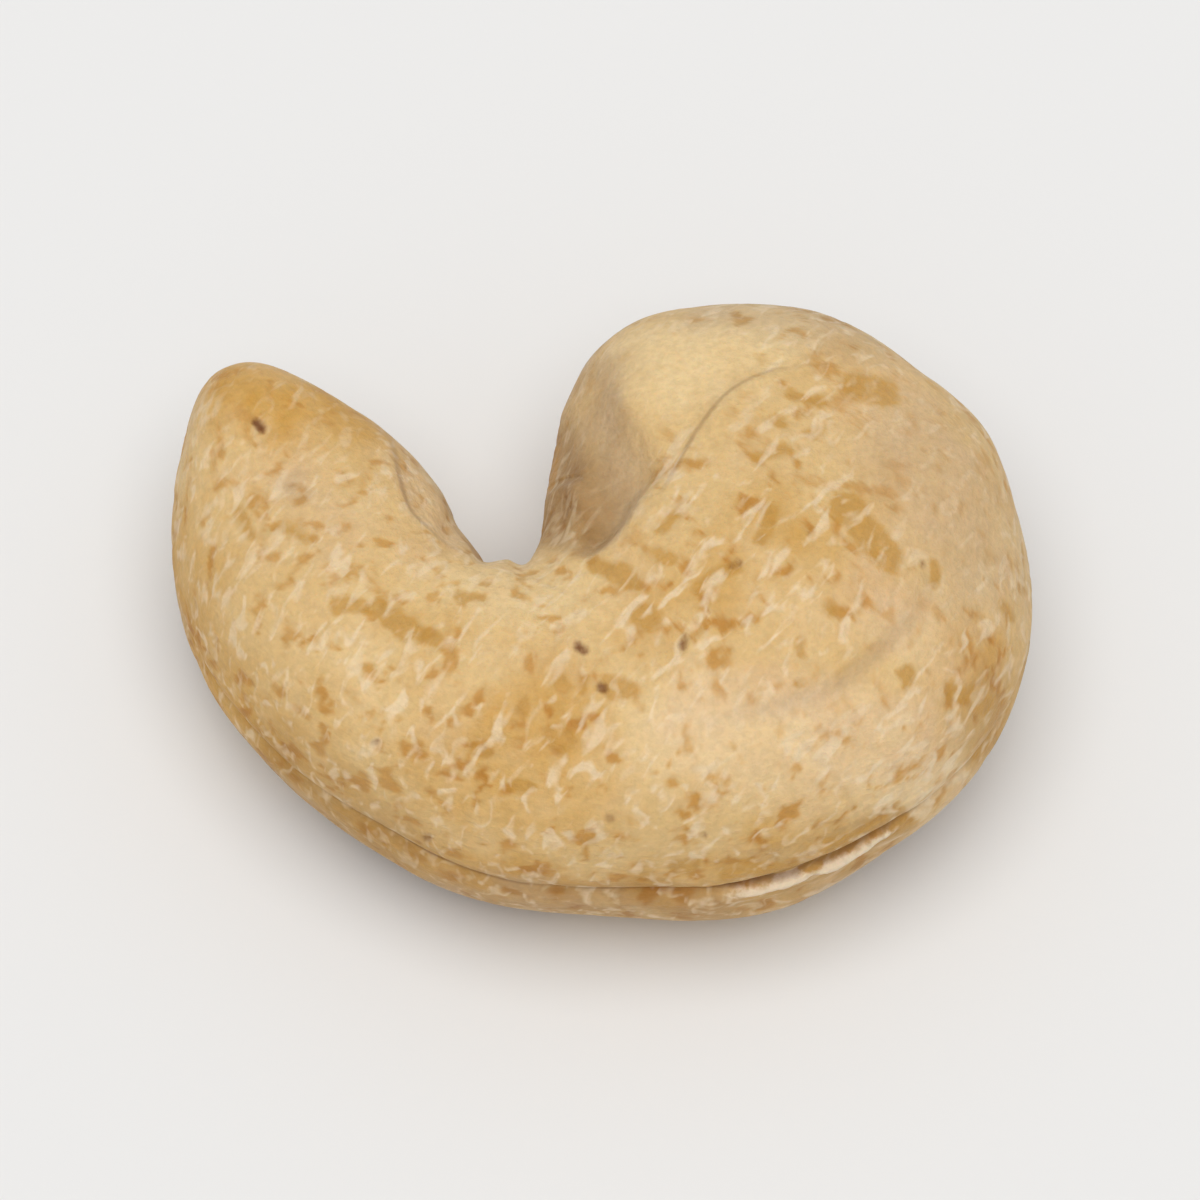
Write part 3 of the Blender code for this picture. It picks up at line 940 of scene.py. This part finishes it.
@dataclass(frozen=True)
class KernelFinish:
    """Powdery cream skin, pitted to gold, streaked with pale wisps and worn through to amber in places."""

    cream: str = "#d9b77f"
    tints: tuple[Layer, ...] = (
        Layer("pink", "#dcbb95", 0.8),
        Layer("warm", "#c6933c", 0.85),
        # the pale layer is partly painted light: sheen on the fat lobe's top edge and the shoulder ridge's
        # highlight
        Layer("pale", "#ebd1a0", 0.7),
        # the grey layer is partly painted shade, on the hollow's wall and in the shoulder's crease
        Layer("grey", "#b3987a", 0.85),
        # the shade layer is painted shade, partly brown stain
        Layer("shade", "#90693a", 0.8),
    )
    pits: Layer = Layer("pits", "#e2c58c", 1.0, 0.6, (0.0, 0.95))  # multiplies what is under it
    amber: Layer = Layer("amber", "#bf9045", 0.75, 0.5, (0.3, 0.72))
    lip: Layer = Layer("lip", "#ecd8be", 0.85, 0.7, (0.3, 0.8))
    speck: Layer = Layer("speck", "#724220", 0.92, 0.4, (0.15, 0.95))  # its brown is also that of the lines' painted shade
    # the slit and the creases are darkened with painted shade
    slit: DarkLine = DarkLine("seam", "seam_darkness", (0.02, 0.11), 0.9)
    crease: DarkLine = DarkLine("crease", "crease_shown", (0.02, 0.16), 0.32)
    wisp: str = "#ebd6b4"
    wisp_share: float = 0.7
    wisp_rise: Pair = (0.5, 0.72)
    wisp_grain: Grain = Grain(scale=1.8, detail=1.5, roughness=0.5, distortion=0.65)
    wisp_stretch: Triple = (0.6, 1.3, 1.0)  # of its places along the slant, across it and up
    slant: float = 0.96  # of the wisps, in radians from +X towards +Y
    fine: Grain = Grain(scale=4.5, detail=3.0, roughness=0.6)
    fine_shade: Four = (0.3, 0.7, 0.88, 1.0)  # the pattern's values, and the tones that they turn into
    fibre: Grain = Grain(scale=1.0, detail=2.0, roughness=0.55)
    fibre_stretch: Triple = (1.6, 5.0, 1.0)  # of its places along the limb and round it
    fibre_shade: float = 0.1
    fibre_relief: float = 0.7  # height of the fibres over that of the fine pattern
    relief: float = 0.05  # height of the fine pattern's full range
    roughness: float = 0.52
    amber_roughness: float = 0.4
    flesh_share: float = 0.2  # of the light that goes into the flesh
    flesh_depth: float = 1.2
    flesh_tone: Triple = (1.0, 0.5, 0.22)  # how far red, green and blue go, over that depth
    refraction: float = 1.42  # the flesh's index
    gloss: float = 0.25

    def material(self) -> bpy.types.Material:
        """Build the kernel's material."""
        tree = MaterialTree(PIECE)
        fine = tree.noise(tree.place(), self.fine)
        fibres = tree.noise(tree.laid_out(self.fibre_stretch), self.fibre)
        jitter = tree.math("SUBTRACT", fine, 0.5)
        amber = self.frayed(tree, self.amber, jitter)
        tone = tree.math("MULTIPLY_ADD", fibres, self.fibre_shade, tree.rise(fine, *self.fine_shade))
        tone = tree.add("CombineColor", {0: tone, 1: tone, 2: tone}).outputs[0]
        colour = tree.mix(1.0, self.worn(tree, jitter, amber), tone, "MULTIPLY")
        height = tree.math("MULTIPLY_ADD", fibres, self.fibre_relief, fine)
        bump = tree.add("Bump", {"Height": height, "Distance": self.relief * MM, "Strength": 1.0})
        smoother = self.amber_roughness - self.roughness
        tree.feed(tree.shader, {
            "Base Color": tree.mix(self.dark(tree, jitter), colour, linear(self.speck.colour)),
            "Roughness": tree.math("MULTIPLY_ADD", amber, smoother, self.roughness),
            "Normal": bump.outputs["Normal"],
            "Subsurface Weight": self.flesh_share,
            "Subsurface Radius": self.flesh_tone,
            "Subsurface Scale": self.flesh_depth * MM,
            "IOR": self.refraction,
            "Specular IOR Level": self.gloss,
        })
        return tree.material

    def frayed(self, tree: MaterialTree, layer: Layer, jitter: Socket, high: float = 1.0) -> Socket:
        """Read how fully a layer shows, up to a highest value, with the fine pattern added to it first."""
        strayed = tree.math("MULTIPLY_ADD", jitter, layer.fray, tree.attribute(layer.name))
        return tree.rise(strayed, *layer.rise, 0.0, high)

    def worn(self, tree: MaterialTree, jitter: Socket, amber: Socket) -> Socket:
        """Colour the skin.

        Args:
            tree: The material.
            jitter: The fine pattern, from -0.5 to 0.5.
            amber: How fully the skin is worn through.

        Returns:
            The cream skin with its broad tints, pits, amber, wisps and the seam's pale lip laid on in turn.
        """
        colour = linear(self.cream)
        for tint in self.tints:
            share = tree.math("MULTIPLY", tree.attribute(tint.name), tint.share)
            colour = tree.mix(share, colour, linear(tint.colour))
        roughness = tree.attribute("roughness")
        pits = tree.math("MULTIPLY", self.frayed(tree, self.pits, jitter), roughness)
        colour = tree.mix(pits, colour, linear(self.pits.colour), "MULTIPLY")
        share = tree.math("MULTIPLY", amber, self.amber.share)
        colour = tree.mix(share, colour, linear(self.amber.colour))
        wisps = tree.math("MULTIPLY", self.wisps(tree), tree.math("MULTIPLY", roughness, self.wisp_share))
        colour = tree.mix(wisps, colour, linear(self.wisp))
        return tree.mix(self.frayed(tree, self.lip, jitter, self.lip.share), colour, linear(self.lip.colour))

    def wisps(self, tree: MaterialTree) -> Socket:
        """Where pale wisps lie: where a swirling field, drawn out along a slant, is high."""
        inputs = {"Vector": tree.place(), "Angle": -self.slant}
        turned = tree.add("VectorRotate", inputs, rotation_type="Z_AXIS").outputs[0]
        drawn = tree.add("VectorMath", {0: turned, 1: self.wisp_stretch}, operation="MULTIPLY").outputs[0]
        return tree.rise(tree.noise(drawn, self.wisp_grain), *self.wisp_rise)

    def drawn(self, tree: MaterialTree, line: DarkLine) -> Socket:
        """How dark a line is: its darkness, which fades with the distance, times the share that shows."""
        distance = tree.math("ABSOLUTE", tree.attribute(line.distance))
        faded = tree.rise(distance, *line.reach, line.darkness, 0.0)
        return tree.math("MULTIPLY", faded, tree.attribute(line.shown))

    def dark(self, tree: MaterialTree, jitter: Socket) -> Socket:
        """Where painted shade darkens the seam's slit and the creases, and where the pinholes are brown."""
        lines = tree.math("MAXIMUM", self.drawn(tree, self.slit), self.drawn(tree, self.crease))
        return tree.math("MAXIMUM", lines, self.frayed(tree, self.speck, jitter, self.speck.share))


@dataclass
class CashewKernel:
    """The whole kernel: its form, its relief and its finish."""

    rings: int = 350
    per_ring: int = 280
    tip_fade: float = 1.8  # half width of a section at which the broad relief is whole
    fine_fade: float = 0.5  # half width of a section at which the fine relief is whole
    limb_length: float = 55.0  # that the UV map gives the outer edge
    girth: float = 30.0  # that it gives every section
    speck_depth: float = 0.05
    speck_rise: Pair = (0.3, 0.8)
    amber_depth: float = 0.02
    amber_rise: Pair = (0.3, 0.7)
    rim: Four = (-2.0, -1.0, -0.3, 0.2)  # distances past the wall's fold: starts, whole, wanes, ends
    smoothing: float = 0.8  # share of the roughness that the shoulder's crease takes away
    set_back: float = 10.0  # how much farther off a crease is counted where it doesn't show
    rest_blend: float = 0.05  # how softly the underside is pressed flat where it touches the floor
    form: KernelForm = field(default_factory=KernelForm)
    seam: Seam = field(default_factory=Seam)
    puckers: Puckers = field(default_factory=Puckers)
    swells: Swells = field(default_factory=Swells)
    weathering: Weathering = field(default_factory=Weathering)
    marking: Marking = field(default_factory=Marking)
    finish: KernelFinish = field(default_factory=KernelFinish)
    wall: Fold = Fold(
        path=(
            (-1.75, 0.75, 0.0), (-1.15, -0.15, 0.5), (-0.5, -0.7, 0.8), (0.1, -0.5, 0.95),
            (0.65, 0.1, 1.0), (1.1, 0.85, 1.0), (1.6, 1.6, 1.0), (1.7, 2.2, 0.85), (1.3, 3.2, 0.65),
            (0.7, 4.4, 0.5), (0.55, 5.4, 0.3), (0.7, 6.3, 0.0),
        ),
        step_depth=0.8,
        step=(-0.3, 1.0),
        back=(1.6, 5.0),
    )
    wall_line: Fold = Fold(
        path=(
            (1.3, 0.3, 0.0), (1.85, 1.2, 0.5), (2.4, 2.35, 1.0), (3.0, 3.4, 1.0), (3.65, 4.3, 1.0),
            (4.35, 4.85, 0.8), (5.0, 5.15, 0.5), (5.9, 5.35, 0.0),
        ),
        step_depth=0.22,
        step=(-0.15, 0.25),
        back=(0.4, 2.4),
        line_depth=0.05,
    )
    limb_line: Fold = Fold(
        path=(
            (-6.3, 4.8, 0.0), (-6.06, 3.8, 0.7), (-5.85, 2.6, 1.0), (-5.5, 1.5, 1.0),
            (-4.9, 0.8, 0.7), (-4.2, 0.3, 0.0),
        ),
        step_depth=0.14,
        step=(-0.15, 0.3),
        back=(0.4, 1.4),
        line_depth=0.05,
    )
    shoulder_line: Fold = Fold(
        path=(
            (2.6, -6.2, 0.0), (3.8, -6.05, 0.4), (5.6, -5.65, 0.8), (7.0, -4.9, 1.0),
            (8.1, -3.8, 1.0), (9.0, -2.65, 0.7), (9.6, -1.4, 0.4), (9.8, -0.2, 0.0),
        ),
        step_depth=0.06,
        step=(-0.2, 0.4),
        back=(0.4, 1.8),
        line_depth=0.1,
        line_width=0.28,
        # painted shade greys its crease and painted light pales the ridge beside it
        tone=0.5,
    )

    def layers(self, skin: Skin) -> Layers:
        """Work out what the finish reads: distances from the lines, and how fully each mark covers."""
        pasts, shows = map(np.array, zip(*(fold.nearest(skin) for fold in (self.wall_line, self.limb_line))))
        nearest = np.argmin(np.abs(pasts) + self.set_back * (shows <= 0), axis=0)[None]
        layers = {
            "seam": self.seam.distance(skin),
            "seam_darkness": self.seam.darkness(skin),
            "lip": self.seam.pale_lip(skin),
            "crease": np.take_along_axis(pasts, nearest, axis=0)[0],
            "crease_shown": np.take_along_axis(shows, nearest, axis=0)[0],
            "pits": self.weathering.pits(skin),
            "roughness": self.marking.roughness(skin),
        }
        for mark in (Mark.AMBER, Mark.SPECK, Mark.WARM, Mark.PALE, Mark.PINK, Mark.GREY, Mark.SHADE):
            layers[mark.value] = self.marking.cover(skin, mark)
        self.clear_rim(skin, layers)
        self.tone_shoulder(skin, layers)
        return layers

    def clear_rim(self, skin: Skin, layers: Layers) -> None:
        """Take grey and shade off the rim, the last millimetre or two before the wall's fold."""
        past, shown = self.wall.nearest(skin)
        rim = np.clip(2 * shown, 0, 1) * plateau(past, *self.rim)
        layers["grey"] *= 1 - rim
        layers["shade"] *= 1 - rim

    def tone_shoulder(self, skin: Skin, layers: Layers) -> None:
        """Paint shade grey into the shoulder's crease and light pale onto its ridge, and smooth both."""
        line = self.shoulder_line
        past, shown = line.nearest(skin)
        layers["grey"] = np.maximum(layers["grey"], line.tone * shown * bell(past, line.line_width))
        layers["pale"] = np.maximum(layers["pale"], line.tone * shown * line.ridge(past))
        layers["roughness"] *= 1 - self.smoothing * shown * bell(past, 2 * line.line_width)

    def relief(self, skin: Skin, layers: Layers) -> tuple[np.ndarray, np.ndarray]:
        """Add up the relief along the normals.

        Args:
            skin: The kernel's surface.
            layers: What the finish reads.

        Returns:
            Heights of the broad and of the fine relief, each faded out at the tips.
        """
        broad = self.seam.broad(skin) + self.puckers.broad(skin) + self.swells.broad(skin)
        broad = broad + self.wall.height(skin)
        pits = self.weathering.pit_depth * layers["pits"] * layers["roughness"]
        fine = self.seam.fine(skin) + self.weathering.dents(skin) - pits
        for fold in (self.wall_line, self.limb_line, self.shoulder_line):
            fine = fine + fold.height(skin)
        fine = fine - self.speck_depth * smooth_step(layers["speck"], *self.speck_rise)
        fine = fine - self.amber_depth * smooth_step(layers["amber"], *self.amber_rise)
        broad = broad * smooth_step(skin.half_width, 0, self.tip_fade)
        return broad, fine * smooth_step(skin.half_width, 0, self.fine_fade)

    def placed(self, points: np.ndarray, guide: np.ndarray) -> np.ndarray:
        """Bring points to the true length, over the origin and onto the floor.

        The scale and the middle are those of the guide, the kernel without its fine relief. The height then
        goes through (z + sqrt(z^2 + b^2)) / 2, which presses flat what dips under the floor.

        Args:
            points: Places in millimetres.
            guide: The places that give the scale and the middle.

        Returns:
            The places on the floor, in millimetres.
        """
        corners = guide.reshape(-1, 3)
        lowest, highest = corners.min(axis=0), corners.max(axis=0)
        middle = (lowest + highest) / 2
        middle[2] = 0
        moved = (points - middle) * self.form.length / (highest[0] - lowest[0])
        moved[..., 2] = (moved[..., 2] + np.sqrt(moved[..., 2] ** 2 + self.rest_blend**2)) / 2
        return moved

    def mesh(self, skin: Skin, layers: Layers) -> bpy.types.Mesh:
        """Join the rings with quads and close each tip with a fan of triangles.

        Args:
            skin: The kernel's bare surface.
            layers: What the finish reads, which is stored on the mesh.

        Returns:
            The mesh.
        """
        broad, fine = self.relief(skin, layers)
        guide = skin.points + skin.normals * broad[..., None]
        rings = guide + skin.normals * fine[..., None]
        height = self.form.tip_height
        tips = np.array([[*self.form.thin_tip, height], [*self.form.fat_tip, height]])
        points = self.placed(np.concatenate([rings.reshape(-1, 3), tips]), guide) * MM
        index = np.arange(self.rings * self.per_ring).reshape(self.rings, self.per_ring)
        beside = np.roll(index, -1, axis=1)
        start = np.stack([np.full(self.per_ring, index.size), index[0], beside[0]], axis=-1)
        end = np.stack([np.full(self.per_ring, index.size + 1), beside[-1], index[-1]], axis=-1)
        mesh = bpy.data.meshes.new(NODE + "_skin")
        mesh.from_pydata(points.tolist(), [], ring_quads(index) + start.tolist() + end.tolist())
        mesh.shade_smooth()
        self.lay_out(mesh)
        self.store(mesh, layers)
        return mesh

    def lay_out(self, mesh: bpy.types.Mesh) -> None:
        """Give the mesh a UV map in millimetres, along the limb and round it, split at the outer edge."""
        row = np.arange(self.rings - 1)[:, None, None]
        column = np.arange(self.per_ring)[:, None]
        shape = (self.rings - 1, self.per_ring, 4)
        rows = [
            np.broadcast_to(row + [0, 1, 1, 0], shape),
            np.broadcast_to([-1, 0, 0], (self.per_ring, 3)),
            np.broadcast_to([self.rings, self.rings - 1, self.rings - 1], (self.per_ring, 3)),
        ]
        columns = [np.broadcast_to(column + [0, 0, 1, 1], shape), column + [0.5, 0, 1], column + [0.5, 1, 0]]
        u = np.concatenate([part.ravel() for part in rows]) * self.limb_length / self.rings
        v = np.concatenate([part.ravel() for part in columns]) * self.girth / self.per_ring
        layer = mesh.uv_layers.new(name=UV_MAP)
        layer.data.foreach_set("uv", np.stack([u, v], axis=-1).astype(np.float32).ravel())

    def store(self, mesh: bpy.types.Mesh, layers: Layers) -> None:
        """Store the layers as attributes of the mesh's points, each tip's taken from the ring beside it."""
        for name, layer in layers.items():
            values = np.zeros(self.rings * self.per_ring + 2, np.float32)
            values[:-2] = layer.ravel()
            values[-2:] = layer[0, 0], layer[-1, 0]
            mesh.attributes.new(name, "FLOAT", "POINT").data.foreach_set("value", values)

    def build(self) -> bpy.types.Object:
        """Make the kernel's object, with its material."""
        skin = self.form.skin(self.rings, self.per_ring)
        mesh = self.mesh(skin, self.layers(skin))
        mesh.materials.append(self.finish.material())
        return put(PIECE, mesh)


@dataclass(frozen=True)
class StudioSet:
    """A plain pale floor under a dome of the same tone, so that no horizon shows."""

    paper: str = "#e7e7e7"
    seen_tone: str = "#eeeeee"  # how the lit paper looks
    radius: float = 1.1  # metres, like all of the set's lengths
    sides: int = 96
    levels: int = 24
    dip: float = 0.02  # radians that the dome begins under the floor
    roughness: float = 0.75

    def circle(self) -> np.ndarray:
        """Points round a circle of radius 1 at height 0."""
        turn = np.linspace(0, 2 * np.pi, self.sides, endpoint=False)
        return np.stack([np.cos(turn), np.sin(turn), np.zeros(self.sides)], axis=-1)

    def floor(self) -> bpy.types.Object:
        """A round floor at height 0."""
        tree = MaterialTree("floor_paper")
        tree.feed(tree.shader, {"Base Color": linear(self.paper), "Roughness": self.roughness})
        return self.shown("studio_floor", self.circle(), [list(range(self.sides))], tree.material)

    def dome(self) -> bpy.types.Object:
        """A half sphere that only the camera sees, so that it neither lights nor shades the kernel."""
        tree = MaterialTree("dome_tone")
        tree.feed(tree.shader, {
            "Base Color": (0.0, 0.0, 0.0, 1.0),
            "Specular IOR Level": 0.0,
            "Emission Color": linear(self.seen_tone),
            "Emission Strength": 1.0,
        })
        lift = np.linspace(-self.dip, np.pi / 2 - self.dip, self.levels)
        points = self.circle()[None] * np.cos(lift)[:, None, None]
        points[..., 2] = np.sin(lift)[:, None]
        index = np.arange(self.levels * self.sides).reshape(self.levels, self.sides)
        faces = [*ring_quads(index), index[-1].tolist()]
        piece = self.shown("studio_dome", points.reshape(-1, 3), faces, tree.material)
        for ray in ("diffuse", "glossy", "transmission", "shadow"):
            setattr(piece, "visible_" + ray, False)
        return piece

    def shown(
        self, name: str, points: np.ndarray, faces: list[list[int]], material: bpy.types.Material
    ) -> bpy.types.Object:
        """Put a part of the stage into the scene.

        Args:
            name: Its name.
            points: Its points, over the stage's radius.
            faces: The points of each face.
            material: What it is made of.

        Returns:
            The object.
        """
        mesh = bpy.data.meshes.new(name)
        mesh.from_pydata((points * self.radius).tolist(), [], faces)
        mesh.materials.append(material)
        piece = put(name, mesh)
        return piece


@dataclass(frozen=True)
class SoftSun:
    """A wide, distant lamp, given by where it shines from."""

    name: str
    azimuth: float  # degrees from +X towards +Y
    elevation: float  # degrees above the floor
    strength: float
    spread: float  # degrees that it fills in the sky
    tone: Triple

    def hang(self) -> bpy.types.Object:
        """Put the lamp into the scene."""
        lamp = bpy.data.lights.new(self.name, "SUN")
        lamp.energy = self.strength
        lamp.angle = math.radians(self.spread)
        lamp.color = self.tone
        piece = put(self.name, lamp)
        turn, lift = math.radians(self.azimuth), math.radians(self.elevation)
        piece.rotation_euler = (math.pi / 2 - lift, 0.0, turn + math.pi / 2)
        return piece


@dataclass(frozen=True)
class Studio:
    """Soft light from nearly straight above, with a pale surround."""

    surround: float = 0.52
    key: SoftSun = SoftSun("key_lamp", -90.0, 80.0, 1.72, 50.0, (1.0, 0.99, 0.97))

    def light(self) -> None:
        """Hang the lamp and set the surround's strength."""
        self.key.hang()
        world = bpy.data.worlds.new("surround")
        world.use_nodes = True
        background = world.node_tree.nodes["Background"]
        background.inputs["Color"].default_value = (1.0, 1.0, 1.0, 1.0)
        background.inputs["Strength"].default_value = self.surround
        bpy.context.scene.world = world
        bpy.context.scene.view_settings.view_transform = "Standard"


@dataclass(frozen=True)
class PictureCamera:
    """A long lens that looks down on the kernel's upper side."""

    elevation: float = VIEW_ELEVATION
    lens: float = 250.0
    sensor: float = 36.0
    kernel_share: float = 0.72  # of the picture's width that the kernel's length takes up
    clip: Pair = (0.01, 10.0)  # metres, nearest and farthest that it sees

    def aim(self, lowest: Triple, highest: Triple) -> bpy.types.Object:
        """Set the camera up.

        Args:
            lowest: The kernel's lowest corner, in metres.
            highest: Its highest corner.

        Returns:
            The camera, which looks at the middle of the kernel's box from the front.
        """
        middle = (np.array(lowest) + np.array(highest)) / 2
        lift = math.radians(self.elevation)
        back = np.array([0.0, -math.cos(lift), math.sin(lift)])
        width = (highest[0] - lowest[0]) / self.kernel_share
        data = bpy.data.cameras.new("picture_camera")
        data.lens = self.lens
        data.sensor_width = self.sensor
        data.clip_start, data.clip_end = self.clip
        camera = put("picture_camera", data)
        camera.location = middle + back * width * self.lens / self.sensor
        camera.rotation_euler = (math.pi / 2 - lift, 0.0, 0.0)
        bpy.context.scene.camera = camera
        return camera


def main() -> None:
    """Build the kernel and the studio round it."""
    logging.basicConfig(level=logging.INFO, format="%(name)s: %(message)s")
    kernel = CashewKernel().build()
    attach(kernel, "root")
    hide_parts(NODE)
    LOG.info("%s has %d faces", kernel.name, len(kernel.data.polygons))
    stage = StudioSet()
    for piece in (stage.floor(), stage.dome()):
        LOG.info("%s is in place", piece.name)
    Studio().light()
    camera = PictureCamera().aim(*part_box(NODE))
    LOG.info("%s looks from %.3f m up", camera.name, camera.location.z)


if __name__ == "__main__":
    main()
